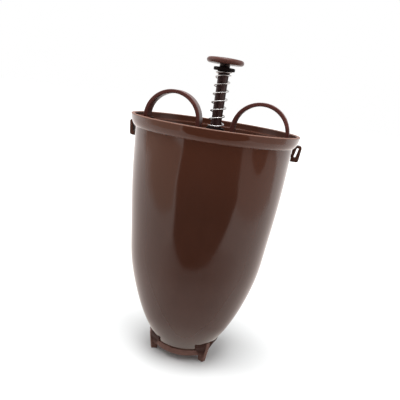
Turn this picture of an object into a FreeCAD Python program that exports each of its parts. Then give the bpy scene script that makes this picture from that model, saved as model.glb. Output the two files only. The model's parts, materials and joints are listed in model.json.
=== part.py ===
import FreeCAD, Part
import math
import os

# Hand-held batter dispenser: a cup on three feet, a bridge with two finger loops
# across its mouth, and a sprung plunger that opens the outlet when it is pressed.
# Sizes are in millimetres. The table is at height 0, the cup's axis is Z, the
# bridge lies along X and one foot points nearly to the back, along +Y.

# Cup
cup_length = 175.5          # bottom edge of the cup to the top of the rim
cup_top_radius = 59.0       # outside of the wall just under the collar
cup_bottom_radius = 23.0    # outside of the wall at its bottom edge
wall = 2.2
belly_shape = [             # share of the wall's height, share of its widening
    (0.0, 0.0),
    (0.063, 0.197),
    (0.153, 0.413),
    (0.274, 0.623),
    (0.394, 0.764),
    (0.514, 0.832),
    (0.694, 0.920),
    (0.875, 0.982),
    (1.0, 1.0),
]

# Collar round the rim
collar_reach = 4.4          # collar's outside past the wall's widest radius
rim_band = 4.0              # height of its upper band
band_lean = 0.7             # how far the foot of the band is set back from its top
collar_height = 9.2
collar_lip = 0.5            # small step where the collar meets the wall
collar_bulge = 0.35         # how far the flare under the band stands out of a straight line
rim_land = 2.5              # thickness at the rim
rim_round = 0.8
ledge_depth = 5.0           # rim to the ledge that carries the bridge

# Outlet
outlet_wall = 3.0           # cup's bottom edge to the outlet bore
outlet_height = 5.6         # table to the underside of the ring
ring_step = 0.2             # ring's outside past the cup's bottom edge
ring_height = 4.4
socket_wall = 1.1           # cup wall left round the ring's spigot
spigot_height = 3.0
bead = 0.4                  # snap bead on the spigot
bead_height = 1.0
neck_land = 1.2             # straight bore above the spigot's socket
seal_thickness = 1.0
fit_gap = 0.15              # between the base and the cup
press_gap = 0.03            # round bores that are pushed on

# Feet
foot_count = 3
foot_turn = -4.5            # degrees that the set of feet is turned about the axis
foot_reach = 2.8            # outer edge on the table past the ring
foot_knee_reach = 5.0       # outer edge at the knee and above
foot_knee = 12.5            # height of the knee
foot_thickness = 3.8
foot_pad = 4.6              # length of the pad, measured outwards
foot_notch = 3.0            # height of the notch inside the pad
foot_heel_lean = 0.4        # inside of the pad leans towards the ring
foot_round = 0.8
foot_root = 2.2             # how far the foot reaches into the ring
wing_start = (2.6, 4.4, 0.0, 18.0, 16.0)   # face past the ring and its half angle, wing past
                                           # the ring and its two angles: at the underside
wing_shape = [                             # height above the ring, then the same
    (-0.5, 3.4, 4.6, 0.2, 24.0, 21.0),
    (1.5, 4.2, 6.0, 1.8, 25.0, 20.0),
    (4.3, 5.0, 9.0, 4.4, 31.0, 24.0),
    (8.7, 5.2, 12.0, 5.7, 32.0, 25.0),
]

# Bridge
bridge_width = 15.0
bridge_thickness = 3.0
bridge_depth = 4.5          # rim to the top of the bridge
bridge_gap = 0.3            # between the bridge and the cup's wall
end_pad_height = 2.5        # thickness of the end that lies on the ledge
end_pad_length = 10.5
rib_height = 4.0
rib_thickness = 1.6
hub_radius = 10.0
hub_length = 11.0           # below the top of the bridge
bridge_round = 0.6

# Finger loops
loop_margin = 1.65          # from the outside of a loop to the cup's wall
loop_seat_gap = 5.25        # from the outside of a loop to the spring's seat
loop_drop = 1.2             # centre of the arc below the rim
loop_thickness = 2.8
loop_width = 12.7
loop_round = 0.5
tenon_width = 8.0           # narrower foot that goes through the bridge
tenon_barb = 0.7
tenon_tail = 2.0            # barbed end under the bridge
slot_gap = 0.08             # round a tenon in its slot

# Lock clips
clip_width = 8.0
clip_reach = 2.5            # top of the outer bar past the collar
clip_lean = 1.2             # how far the bar's foot is set back from its top
clip_top_depth = 6.2        # rim to the top of the eye
clip_bottom_depth = 18.2
clip_crown = 1.6            # eye's top above its slot
clip_arm = 3.0              # eye's bottom under its slot
clip_strip = 1.5            # strip that lies on the wall, at the foot of the slot
clip_strip_top = 3.0        # the same at the top of the slot
clip_slot = 1.6
clip_slot_round = 0.7
clip_round = 1.8
clip_gap = 0.3
tongue_depth = 14.0
tongue_thickness = 2.0
tongue_width = 6.4
tongue_barb = 0.8
tongue_tip = 1.6            # length of the barbed tip past the leg
leg_thickness = 3.5
leg_length = 10.5           # below the bridge

# Plunger
rod_radius = 4.0            # over the tips of the cross
rod_rib = 2.6
rod_turn = 35.0             # degrees that the cross is turned about the axis
rod_spigot_radius = 2.8
rod_collar_radius = 5.8
rod_collar_height = 3.0
slide_gap = 0.1             # running fit
bush_wall = 2.0
bush_flange_radius = 6.9
bush_flange = 1.2
bush_tail = 1.2             # stands out under the hub
seat_radius = 6.4
seat_thickness = 0.6
seat_gap = 0.4

# Spring
wire = 1.0
spring_radius = 5.5         # to the middle of the wire
spring_length = 41.5
coils = 6
seat_coil_pitch = 1.6
cap_coil_pitch = 2.2
cap_coil_turns = 1.25
spring_start = -81.2        # degrees about the axis where the lower end lies
spring_play = 0.05

# Spring cap and knob
cap_radius = 7.9
cap_flange = 2.4
cap_boss_radius = 4.6
cap_boss = 2.0
cap_round = 0.6
knob_radius = 13.8
knob_thickness = 4.0
knob_dome = 0.6
knob_neck_radius = 3.9
knob_neck = 2.4
knob_web = 1.2              # under the screw's head
cover_radius = 5.6
head_room = 0.3             # between the screw's head and the cover

# Closing piston
piston_play = 0.3           # between the piston and the outlet bore
piston_drop = 1.3           # stands out under the ring
piston_height = 5.0
piston_round = 0.8
cone_height = 10.5
cone_top_radius = 6.4
cone_hollow = 1.5           # how far the cone's flank curves inwards
web_thickness = 2.5
recess_radius = 7.0
recess_depth = 3.0
rod_end_radius = 3.5
seal_height = 1.3
seal_depth = 1.2
seal_lift = 2.4             # bottom of the piston to its groove
seal_play = 0.1             # between the seal and the outlet bore

# Screws and washer
screw_radius = 1.5
screw_length = 10.0
screw_head_radius = 3.0
screw_head = 1.8
screw_round = 0.6
driver_slot = 0.7
driver_depth = 0.9
washer_radius = 4.6
washer_thickness = 0.8
hole_gap = 0.1
thread_gap = 0.03

# Fineness of the drawing itself
touching = 1e-6             # points nearer than this are one point
hair = 1e-3                 # margin for telling one face's edges from another's
nearly_along = 0.999        # share of a unit tangent that counts as along an axis
turn_parts = 4              # pairs of arcs in one turn of the spring
heading_step = 0.001        # of a turn, for the wire's slope
gap_points = 36             # points on a turn where the spring's gap is measured

# Heights and radii worked out from the sizes above
cup_bottom = outlet_height + ring_height
rim = cup_bottom + cup_length
wall_top = rim - collar_height
ledge = rim - ledge_depth
seal_bottom = cup_bottom + spigot_height
socket_top = seal_bottom + seal_thickness
neck_top = socket_top + neck_land
outlet_radius = cup_bottom_radius - outlet_wall
ring_radius = cup_bottom_radius + ring_step
foot_radius = ring_radius + foot_reach
foot_knee_radius = ring_radius + foot_knee_reach
socket_radius = cup_bottom_radius - socket_wall
spigot_radius = socket_radius - fit_gap
inner_radius = cup_top_radius - wall
rim_radius = cup_top_radius + collar_reach
pocket_radius = rim_radius - rim_land
bridge_top = rim - bridge_depth
bridge_bottom = bridge_top - bridge_thickness
pad_top = ledge + end_pad_height
hub_bottom = bridge_top - hub_length
bush_bottom = hub_bottom - bush_tail
bush_radius = rod_radius + bush_wall
seat_bottom = bridge_top + bush_flange
seat_top = seat_bottom + seat_thickness
cap_bottom = seat_top + spring_length + spring_play
cap_top = cap_bottom + cap_flange
shoulder = cap_bottom - cap_boss
knob_bottom = cap_top + knob_neck
knob_top = knob_bottom + knob_thickness
loop_radius = (inner_radius - loop_margin - loop_seat_gap - seat_radius) / 2
loop_centre = inner_radius - loop_margin - loop_radius
loop_height = rim - loop_drop
loop_inside = loop_radius - loop_thickness
stroke = knob_bottom - (loop_height + loop_radius)
piston_radius = outlet_radius - piston_play
piston_bottom = outlet_height - piston_drop
piston_top = piston_bottom + piston_height
cone_top = piston_top + cone_height
web_bottom = piston_bottom + recess_depth
web_top = web_bottom + web_thickness
groove_radius = piston_radius - seal_depth
groove_bottom = piston_bottom + seal_lift
groove_top = groove_bottom + seal_height
leg_outside = loop_centre + loop_inside - tenon_barb - clip_gap
leg_inside = leg_outside - leg_thickness
clip_outside = rim_radius + clip_reach
tongue_half = tongue_width / 2
barb_half = tongue_half + tongue_barb
tongue_low = rim - tongue_depth - tongue_thickness / 2
tongue_high = tongue_low + tongue_thickness
tip_start = leg_inside - clip_gap
tip_end = tip_start - tongue_tip
bead_middle = cup_bottom + spigot_height / 2
spigot_top = knob_bottom
screw_seat = spigot_top + knob_web
washer_low = web_bottom - washer_thickness
cover_bottom = screw_seat + screw_head + head_room

os.makedirs("parts", exist_ok=True)


def place(radius, height):
    """A point of an outline, in the plane of X and Z."""
    return FreeCAD.Vector(radius, 0, height)


def arc(start, middle, end):
    return Part.Arc(start, middle, end).toShape()


def quarter(start, corner, end):
    """The round that replaces a square corner between two points."""
    centre = start + end - corner
    middle = centre + (corner - centre) * math.sqrt(0.5)
    return arc(start, middle, end)


def spline(points):
    curve = Part.BSplineCurve()
    curve.interpolate(points)
    return curve.toShape()


def outline(*items):
    """A face bounded by the given edges and by straight lines to the given points."""
    first = here = items[0]
    edges = []
    for item in items[1:] + (first,):
        if isinstance(item, Part.Shape):
            ends = [vertex.Point for vertex in item.Vertexes]
            ends.sort(key=here.distanceToPoint)
        else:
            ends = [item, item]
        if here.distanceToPoint(ends[0]) > touching:
            edges.append(Part.makeLine(here, ends[0]))
        if isinstance(item, Part.Shape):
            edges.append(item)
        here = ends[1]
    return Part.Face(Part.Wire(edges))


def turned(*items):
    """The solid that an outline sweeps round the axis of the cup."""
    return outline(*items).revolve(FreeCAD.Vector(), FreeCAD.Vector(0, 0, 1), 360)


def tube(outside, inside, low, high):
    return turned(
        place(inside, low), place(outside, low), place(outside, high), place(inside, high)
    )


def disc(radius, low, high):
    return Part.makeCylinder(radius, high - low, place(0, low))


def block(x_low, x_high, y_half, low, high):
    corner = FreeCAD.Vector(x_low, -y_half, low)
    return Part.makeBox(x_high - x_low, 2 * y_half, high - low, corner)


def prism(half_width, *items):
    """An outline in the plane of X and Z, given thickness along Y."""
    face = outline(*items)
    face.translate(FreeCAD.Vector(0, -half_width, 0))
    return face.extrude(FreeCAD.Vector(0, 2 * half_width, 0))


def turn(shape, degrees):
    copy = shape.copy()
    copy.rotate(FreeCAD.Vector(), FreeCAD.Vector(0, 0, 1), degrees)
    return copy


def both_ends(shape):
    return [shape, turn(shape, 180)]


def is_along_x(edge):
    return abs(edge.tangentAt(edge.FirstParameter).x) > nearly_along


def is_along_y(edge):
    return abs(edge.tangentAt(edge.FirstParameter).y) > nearly_along


def round_edges(shape, radius, wanted):
    return shape.makeFillet(radius, [edge for edge in shape.Edges if wanted(edge)])


def cross(radius, rib, low, high):
    """A bar with the section of a plus sign, its tips rounded to the radius."""
    bar = block(-radius, radius, rib / 2, low, high)
    plus = bar.fuse(turn(bar, 90)).removeSplitter()
    return turn(plus.common(disc(radius, low, high)), rod_turn)


# Cup

def wall_points(inset):
    """Points of the wall's outside, moved inwards by the inset along its normals."""
    height = wall_top - cup_bottom
    widening = cup_top_radius - cup_bottom_radius
    points = [
        place(cup_bottom_radius + out * widening, cup_bottom + up * height)
        for up, out in belly_shape
    ]
    curve = Part.BSplineCurve()
    curve.interpolate(points)
    moved = []
    for point in points:
        slope = curve.tangent(curve.parameter(point))[0]
        moved.append(point + FreeCAD.Vector(-slope.z, 0, slope.x) * inset)
    moved[-1] = place(cup_top_radius - inset, wall_top + min(inset, 0))
    return moved


def collar_underside(grow):
    """The flare from the wall up to the foot of the collar's band."""
    low = place(cup_top_radius + collar_lip + grow, wall_top - grow)
    high = place(rim_radius - band_lean + grow, rim - rim_band - grow)
    return arc(low, (low + high) * 0.5 + place(collar_bulge, -collar_bulge), high)


def cup_envelope(grow):
    """The cup's outside as a full solid, larger all over by the given gap."""
    return turned(
        place(0, cup_bottom - grow),
        spline(wall_points(-grow)),
        collar_underside(grow),
        place(rim_radius + grow, rim + grow),
        place(0, rim + grow),
    )


def make_cup():
    cup = turned(
        place(socket_radius, cup_bottom),
        spline(wall_points(0)),
        collar_underside(0),
        quarter(
            place(rim_radius, rim - rim_round),
            place(rim_radius, rim),
            place(rim_radius - rim_round, rim),
        ),
        quarter(
            place(pocket_radius + rim_round, rim),
            place(pocket_radius, rim),
            place(pocket_radius, rim - rim_round),
        ),
        place(pocket_radius, ledge),
        place(inner_radius, ledge),
        spline(wall_points(wall)[1:]),
        place(outlet_radius, neck_top),
        place(outlet_radius, socket_top),
        place(socket_radius, socket_top),
        place(socket_radius, bead_middle + bead_height),
        place(socket_radius + bead, bead_middle),
        place(socket_radius, bead_middle - bead_height),
    )
    window = block(
        inner_radius - wall,
        rim_radius,
        tongue_half + clip_gap,
        tongue_low - clip_gap,
        tongue_high + clip_gap,
    )
    return cup.cut(both_ends(window))


# Outlet base with its feet

def wing_section(rise, face_reach, face_angle, wing_reach, ahead, behind):
    """Plan of a foot's wings at a height: its outer face, the wings' ends and the back."""
    back = ring_radius - foot_root
    corners = [
        (ring_radius + face_reach, -face_angle),
        (ring_radius + face_reach, face_angle),
        (ring_radius + wing_reach, ahead),
        (back, ahead),
        (back, -behind),
        (ring_radius + wing_reach, -behind),
    ]
    points = []
    for radius, degrees in corners:
        angle = math.radians(degrees)
        x, y = radius * math.cos(angle), radius * math.sin(angle)
        points.append(FreeCAD.Vector(x, y, cup_bottom + rise))
    return Part.makePolygon(points + [points[0]])


def make_foot():
    foot_heel = foot_radius - foot_pad
    back = ring_radius - foot_root
    top = cup_bottom + wing_shape[-1][0]
    fin = prism(
        foot_thickness / 2,
        place(foot_radius, 0),
        place(foot_knee_radius, foot_knee),
        place(foot_knee_radius, top),
        place(back, top),
        place(back, outlet_height),
        place(foot_heel - foot_heel_lean, foot_notch),
        place(foot_heel, 0),
    )
    fin = round_edges(
        fin,
        foot_round,
        lambda edge: not is_along_y(edge) and edge.CenterOfMass.x > foot_radius,
    )
    rows = [(-ring_height,) + wing_start] + wing_shape
    wings = Part.makeLoft([wing_section(*row) for row in rows], True, True)
    ring_inside = disc(back, 0, top)
    foot = fin.fuse(wings).cut([cup_envelope(fit_gap), ring_inside])
    return turn(foot, 90 + foot_turn)


def make_base():
    ring = turned(
        place(outlet_radius, outlet_height),
        place(ring_radius, outlet_height),
        place(ring_radius, cup_bottom),
        place(spigot_radius, cup_bottom),
        place(spigot_radius, bead_middle - bead_height),
        place(spigot_radius + bead, bead_middle),
        place(spigot_radius, bead_middle + bead_height),
        place(spigot_radius, seal_bottom),
        place(outlet_radius, seal_bottom),
    )
    foot = make_foot()
    feet = [turn(foot, 360 / foot_count * number) for number in range(foot_count)]
    return ring.fuse(feet).removeSplitter()


def make_base_seal():
    return tube(spigot_radius, outlet_radius + fit_gap, seal_bottom, socket_top)


# Bridge

def tenon_slots(side_gap):
    """The two tenons of a loop from over the pads to under the bridge, or their slots."""
    low = bridge_bottom
    inner = loop_centre - loop_radius
    outer = loop_centre + loop_inside
    half = tenon_width / 2 + side_gap
    return [
        block(inner - side_gap, inner + loop_thickness + side_gap, half, low, loop_height),
        block(outer - side_gap, outer + loop_thickness + side_gap, half, low, loop_height),
    ]


def make_bridge():
    half = bridge_width / 2
    plate = round_edges(
        block(-rim_radius, rim_radius, half, bridge_bottom, bridge_top),
        bridge_round,
        lambda edge: is_along_x(edge) and edge.CenterOfMass.z > bridge_bottom + hair,
    )
    plate = plate.common(disc(inner_radius - bridge_gap, bridge_bottom, bridge_top))
    pad_start = pocket_radius - end_pad_length
    pad = round_edges(
        block(pad_start, rim_radius, half, bridge_bottom, pad_top),
        bridge_round,
        lambda edge: edge.CenterOfMass.z > pad_top - hair
        and edge.CenterOfMass.x < rim_radius - hair,
    )
    pad_room = disc(pocket_radius - bridge_gap, ledge, pad_top)
    pad_room = pad_room.fuse(disc(inner_radius - bridge_gap, bridge_bottom, ledge))
    pad = pad.common(pad_room)
    rib = block(0, leg_inside, half, bridge_bottom - rib_height, bridge_bottom)
    rib = rib.cut(
        block(-rib_thickness, leg_inside, half - rib_thickness, bridge_bottom - rib_height, bridge_bottom)
    )
    leg = block(leg_inside, leg_outside, half, bridge_bottom - leg_length, bridge_bottom)
    leg = leg.cut(
        block(
            leg_inside,
            leg_outside,
            barb_half + clip_gap,
            tongue_low - clip_gap,
            tongue_high + clip_gap,
        )
    )
    hub = disc(hub_radius, hub_bottom, bridge_top)
    solid = plate.fuse(both_ends(pad) + both_ends(rib) + both_ends(leg) + [hub])
    slots = []
    for slot in tenon_slots(slot_gap):
        slots += both_ends(slot)
    solid = solid.cut(slots + [disc(bush_radius + press_gap, hub_bottom, bridge_top)])
    return solid.removeSplitter()


def make_bush():
    bush = disc(bush_radius, bush_bottom, bridge_top)
    bush = bush.fuse(disc(bush_flange_radius, bridge_top, seat_bottom)).removeSplitter()
    return bush.cut(
        cross(rod_radius + slide_gap, rod_rib + 2 * slide_gap, bush_bottom, seat_bottom)
    )


def make_loop():
    """The right-hand loop: a flat band with a half-round top and two tenons."""
    outer_left = place(loop_centre - loop_radius, loop_height)
    outer_right = place(loop_centre + loop_radius, loop_height)
    inner_left = place(loop_centre - loop_inside, loop_height)
    inner_right = place(loop_centre + loop_inside, loop_height)
    band = prism(
        loop_width / 2,
        place(outer_left.x, bridge_top),
        arc(outer_left, place(loop_centre, loop_height + loop_radius), outer_right),
        place(outer_right.x, pad_top),
        place(inner_right.x, pad_top),
        arc(inner_right, place(loop_centre, loop_height + loop_inside), inner_left),
        place(inner_left.x, bridge_top),
    )
    band = round_edges(band, loop_round, lambda edge: not is_along_y(edge))
    low = bridge_bottom - tenon_tail
    tenons = []
    for inside, inwards, top in ((inner_left.x, 1, bridge_top), (inner_right.x, -1, pad_top)):
        outside = inside - inwards * loop_thickness
        tenons.append(
            prism(
                tenon_width / 2,
                place(outside, top + loop_round),
                place(outside, low),
                place(inside, low),
                place(inside + inwards * tenon_barb, bridge_bottom),
                place(inside, bridge_bottom),
                place(inside, top + loop_round),
            )
        )
    return band.fuse(tenons).removeSplitter()


# Lock clips

def make_clip():
    """The right-hand clip: an eye outside the wall and a barbed tongue through it."""
    high = rim - clip_top_depth
    low = rim - clip_bottom_depth
    strip_inside = cup_top_radius + clip_gap
    slot_low = low + clip_arm
    slot_high = high - clip_crown
    eye = prism(
        clip_width / 2,
        place(inner_radius, high),
        place(clip_outside, high),
        place(clip_outside - clip_lean, low),
        place(inner_radius, low),
    )
    eye = round_edges(
        eye, clip_round, lambda edge: is_along_y(edge) and edge.CenterOfMass.x > rim_radius
    )
    gap = prism(
        clip_width,
        place(strip_inside + clip_strip, slot_low),
        place(strip_inside + clip_strip + clip_slot, slot_low),
        place(strip_inside + clip_strip_top + clip_slot, slot_high),
        place(strip_inside + clip_strip_top, slot_high),
    )
    gap = round_edges(gap, clip_slot_round, is_along_y)
    eye = eye.cut([gap, cup_envelope(clip_gap)])
    tongue = block(tip_end, strip_inside + clip_strip / 2, tongue_half, tongue_low, tongue_high)
    tip = Part.makePolygon(
        [
            FreeCAD.Vector(tip_end, -tongue_half, tongue_low),
            FreeCAD.Vector(tip_end, tongue_half, tongue_low),
            FreeCAD.Vector(tip_start, barb_half, tongue_low),
            FreeCAD.Vector(tip_start, -barb_half, tongue_low),
            FreeCAD.Vector(tip_end, -tongue_half, tongue_low),
        ]
    )
    tip = Part.Face(tip).extrude(FreeCAD.Vector(0, 0, tongue_thickness))
    return eye.fuse([tongue, tip]).removeSplitter()


# Plunger

def make_rod():
    collar_top = bush_bottom - slide_gap
    collar_low = collar_top - rod_collar_height
    collar = turned(
        place(0, collar_low - rod_collar_height),
        place(rod_rib / 2, collar_low - rod_collar_height),
        place(rod_collar_radius, collar_low),
        place(rod_collar_radius, collar_top),
        place(0, collar_top),
    )
    rod = cross(rod_radius, rod_rib, cone_top, shoulder)
    ends = [
        disc(rod_end_radius, web_top, cone_top),
        disc(rod_spigot_radius, shoulder, spigot_top),
        collar,
    ]
    pilots = [
        disc(screw_radius + thread_gap, web_top, washer_low + screw_length + hole_gap),
        disc(screw_radius + thread_gap, screw_seat - screw_length - hole_gap, spigot_top),
    ]
    return rod.fuse(ends).removeSplitter().cut(pilots)


def make_screw():
    """A screw with its head downwards and the underside of its head at height 0."""
    head = round_edges(
        disc(screw_head_radius, -screw_head, 0),
        screw_round,
        lambda edge: edge.CenterOfMass.z < -screw_head / 2 and len(edge.Vertexes) == 1,
    )
    screw = head.fuse(disc(screw_radius, 0, screw_length)).removeSplitter()
    slot = block(
        -screw_radius, screw_radius, driver_slot / 2, -screw_head, driver_depth - screw_head
    )
    return screw.cut([slot, turn(slot, 90)])


def make_piston_screw():
    screw = make_screw()
    screw.translate(place(0, washer_low))
    return screw


def make_knob_screw():
    screw = make_screw()
    screw.rotate(FreeCAD.Vector(), FreeCAD.Vector(1, 0, 0), 180)
    screw.translate(place(0, screw_seat))
    return screw


def make_cap():
    bore = rod_spigot_radius + press_gap
    return turned(
        place(bore, shoulder),
        place(cap_boss_radius, shoulder),
        place(cap_boss_radius, cap_bottom),
        place(cap_radius - cap_round, cap_bottom),
        quarter(
            place(cap_radius - cap_round, cap_bottom),
            place(cap_radius, cap_bottom),
            place(cap_radius, cap_bottom + cap_round),
        ),
        quarter(
            place(cap_radius, cap_top - cap_round),
            place(cap_radius, cap_top),
            place(cap_radius - cap_round, cap_top),
        ),
        place(bore, cap_top),
    )


def dome(radius):
    """Height of the knob's domed top at a distance from its axis."""
    flat = knob_radius - knob_thickness / 2
    sphere = (flat ** 2 + knob_dome ** 2) / (2 * knob_dome)
    return knob_top + knob_dome - sphere + math.sqrt(sphere ** 2 - radius ** 2)


def dome_arc(inside, outside):
    return arc(*[place(r, dome(r)) for r in (inside, (inside + outside) / 2, outside)])


def make_knob():
    flat = knob_radius - knob_thickness / 2
    bore = rod_spigot_radius + press_gap
    screw_hole = screw_radius + hole_gap
    return turned(
        place(bore, cap_top),
        place(knob_neck_radius, cap_top),
        place(knob_neck_radius, knob_bottom),
        arc(
            place(flat, knob_bottom),
            place(knob_radius, knob_bottom + knob_thickness / 2),
            place(flat, knob_top),
        ),
        dome_arc(cover_radius + press_gap, flat),
        place(cover_radius + press_gap, cover_bottom),
        place(screw_head_radius + hole_gap, cover_bottom),
        place(screw_head_radius + hole_gap, screw_seat),
        place(screw_hole, screw_seat),
        place(screw_hole, spigot_top),
        place(bore, spigot_top),
    )


def make_cover():
    return turned(
        place(0, cover_bottom),
        place(cover_radius, cover_bottom),
        dome_arc(0, cover_radius),
    )


def make_piston():
    bore = rod_end_radius + press_gap
    screw_hole = screw_radius + hole_gap
    hollow = place(-cone_hollow, -cone_hollow)
    return turned(
        place(screw_hole, web_bottom),
        place(recess_radius, web_bottom),
        place(recess_radius, piston_bottom),
        quarter(
            place(piston_radius - piston_round, piston_bottom),
            place(piston_radius, piston_bottom),
            place(piston_radius, piston_bottom + piston_round),
        ),
        place(piston_radius, groove_bottom),
        place(groove_radius, groove_bottom),
        place(groove_radius, groove_top),
        place(piston_radius, groove_top),
        arc(
            place(piston_radius, piston_top),
            (place(piston_radius, piston_top) + place(cone_top_radius, cone_top)) * 0.5 + hollow,
            place(cone_top_radius, cone_top),
        ),
        place(bore, cone_top),
        place(bore, web_top),
        place(screw_hole, web_top),
    )


def make_piston_seal():
    return tube(outlet_radius - seal_play, groove_radius, groove_bottom, groove_top)


# Spring

def spring_turns():
    return 1 + coils + cap_coil_turns


def spring_climb(turns):
    """Height of the wire above its lower end after a number of turns."""
    ends = seat_coil_pitch + cap_coil_pitch * cap_coil_turns
    coil_pitch = (spring_length - wire - ends) / coils
    seat_part = min(turns, 1) * seat_coil_pitch
    open_part = min(max(turns - 1, 0), coils) * coil_pitch
    cap_part = max(turns - 1 - coils, 0) * cap_coil_pitch
    return seat_part + open_part + cap_part


def spring_point(turns):
    angle = math.radians(spring_start + 360 * turns)
    height = seat_top + wire / 2 + spring_climb(turns)
    return FreeCAD.Vector(
        spring_radius * math.cos(angle), spring_radius * math.sin(angle), height
    )


def spring_heading(turns):
    """Direction of the wire, with the mean of the two slopes where the pitch changes."""
    angle = math.radians(spring_start + 360 * turns)
    before = max(turns - heading_step, 0)
    after = min(turns + heading_step, spring_turns())
    slope = (spring_climb(after) - spring_climb(before)) / (after - before)
    round_trip = 2 * math.pi * spring_radius
    heading = FreeCAD.Vector(
        -round_trip * math.sin(angle), round_trip * math.cos(angle), slope
    )
    return heading.normalize()


def tangent_arc(start, corner, end):
    """The arc that leaves start and reaches end along the lines to their corner."""
    chord_middle = (start + end) * 0.5
    half_chord = start.distanceToPoint(end) / 2
    to_corner = corner - chord_middle
    turn_angle = math.atan2(to_corner.Length, half_chord)
    rise = half_chord * math.tan(turn_angle / 2)
    return arc(start, chord_middle + to_corner.normalize() * rise, end)


def biarc(start, start_heading, end, end_heading):
    """Two arcs that meet smoothly between two points with given headings."""
    gap = end - start
    both = start_heading + end_heading
    spread = 2 * (1 - start_heading.dot(end_heading))
    along = gap.dot(both)
    reach = (math.sqrt(along ** 2 + spread * gap.dot(gap)) - along) / spread
    first_corner = start + start_heading * reach
    second_corner = end - end_heading * reach
    joint = (first_corner + second_corner) * 0.5
    return [tangent_arc(start, first_corner, joint), tangent_arc(joint, second_corner, end)]


def make_spring():
    pairs = round(spring_turns() * turn_parts)
    stops = [number / turn_parts for number in range(pairs)] + [spring_turns()]
    edges = []
    for before, after in zip(stops, stops[1:]):
        edges += biarc(
            spring_point(before),
            spring_heading(before),
            spring_point(after),
            spring_heading(after),
        )
    ring = Part.Circle(spring_point(0), spring_heading(0), wire / 2).toShape()
    return Part.Wire(edges).makePipeShell([Part.Wire(ring)], True, False)


def spring_gap():
    """Least gap between neighbouring turns, measured on points of the wire's line."""
    points = [
        spring_point(number / gap_points)
        for number in range(int(spring_turns() * gap_points) + 1)
    ]
    nearest = min(
        points[first].distanceToPoint(points[second])
        for first in range(len(points))
        for second in range(first + gap_points // 2, len(points))
    )
    return nearest - wire


def make_all():
    loops = both_ends(make_loop())
    clips = both_ends(make_clip())
    return {
        "hopper_cup": make_cup(),
        "outlet_base": make_base(),
        "base_seal": make_base_seal(),
        "handle_bridge": make_bridge(),
        "guide_bush": make_bush(),
        "spring_seat": tube(seat_radius, rod_radius + seat_gap, seat_bottom, seat_top),
        "finger_loop_right": loops[0],
        "finger_loop_left": loops[1],
        "lock_clip_right": clips[0],
        "lock_clip_left": clips[1],
        "plunger_rod": make_rod(),
        "return_spring": make_spring(),
        "spring_cap": make_cap(),
        "push_knob": make_knob(),
        "knob_screw": make_knob_screw(),
        "knob_cover": make_cover(),
        "closing_piston": make_piston(),
        "piston_seal": make_piston_seal(),
        "piston_washer": tube(
            washer_radius, screw_radius + hole_gap, washer_low, web_bottom
        ),
        "piston_screw": make_piston_screw(),
    }


for name, shape in make_all().items():
    shape.exportStep("parts/" + name + ".step")
    box = shape.BoundBox
    print(
        f"{name:18s} {len(shape.Solids)} solid, valid {shape.isValid()}, {shape.Volume:9.1f} mm3,"
        f" x {box.XMin:.2f} {box.XMax:.2f}, y {box.YMin:.2f} {box.YMax:.2f},"
        f" z {box.ZMin:.2f} {box.ZMax:.2f}"
    )

clip_travel = inner_radius - clip_gap - tip_start
print(f"plunger stroke {stroke:.2f} mm, clip travel {clip_travel:.2f} mm")
print(f"least gap between the spring's turns {spring_gap():.2f} mm")
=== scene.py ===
import bmesh
import bpy
import json
import math
from mathutils import Matrix, Vector


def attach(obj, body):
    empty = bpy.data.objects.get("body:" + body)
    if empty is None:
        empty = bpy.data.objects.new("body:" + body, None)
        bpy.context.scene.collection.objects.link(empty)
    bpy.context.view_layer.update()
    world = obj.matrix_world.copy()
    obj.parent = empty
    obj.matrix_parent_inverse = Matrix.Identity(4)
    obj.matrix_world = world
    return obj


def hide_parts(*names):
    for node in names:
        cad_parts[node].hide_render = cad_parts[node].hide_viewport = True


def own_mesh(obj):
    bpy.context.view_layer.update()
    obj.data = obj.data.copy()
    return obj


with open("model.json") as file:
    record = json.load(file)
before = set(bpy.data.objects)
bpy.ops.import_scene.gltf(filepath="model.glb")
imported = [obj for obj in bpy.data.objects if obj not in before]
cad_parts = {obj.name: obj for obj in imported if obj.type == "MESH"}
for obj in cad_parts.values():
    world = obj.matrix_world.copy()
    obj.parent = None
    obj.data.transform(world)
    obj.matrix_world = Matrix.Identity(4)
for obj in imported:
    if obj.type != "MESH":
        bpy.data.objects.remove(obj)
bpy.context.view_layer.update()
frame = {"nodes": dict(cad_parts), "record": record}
cadNodes = frame["nodes"]
scene = bpy.context.scene
print("frame loaded:", len(cadNodes), "CAD nodes")


# in these helpers a value is a socket or plain numbers, and a plain colour has three
def plug(tree, socket, value):
    if isinstance(value, bpy.types.NodeSocket):
        tree.links.new(value, socket)
    elif socket.type == "RGBA":
        socket.default_value = (*value, 1)
    else:
        socket.default_value = value


def calc(tree, operation, first, second=0.0):
    node = tree.nodes.new("ShaderNodeMath")
    node.operation = operation
    plug(tree, node.inputs[0], first)
    plug(tree, node.inputs[1], second)
    return node.outputs[0]


def total(tree, value, *others):
    for other in others:
        value = calc(tree, "ADD", value, other)
    return value


def product(tree, value, *others):
    for other in others:
        value = calc(tree, "MULTIPLY", value, other)
    return value


def scaled(tree, vector, factors):
    node = tree.nodes.new("ShaderNodeVectorMath")
    node.operation = "MULTIPLY"
    plug(tree, node.inputs[0], vector)
    plug(tree, node.inputs[1], factors)
    return node.outputs[0]


def combined(tree, *parts):
    node = tree.nodes.new("ShaderNodeCombineXYZ")
    for socket, part in zip(node.inputs, parts):
        plug(tree, socket, part)
    return node.outputs[0]


def separated(tree, vector):
    node = tree.nodes.new("ShaderNodeSeparateXYZ")
    tree.links.new(vector, node.inputs[0])
    return node.outputs


def noise(tree, vector, scale, detail=2.0, roughness=0.5):
    node = tree.nodes.new("ShaderNodeTexNoise")
    plug(tree, node.inputs["Vector"], vector)
    node.inputs["Scale"].default_value = scale
    node.inputs["Detail"].default_value = detail
    node.inputs["Roughness"].default_value = roughness
    return node.outputs["Fac"]


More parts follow.
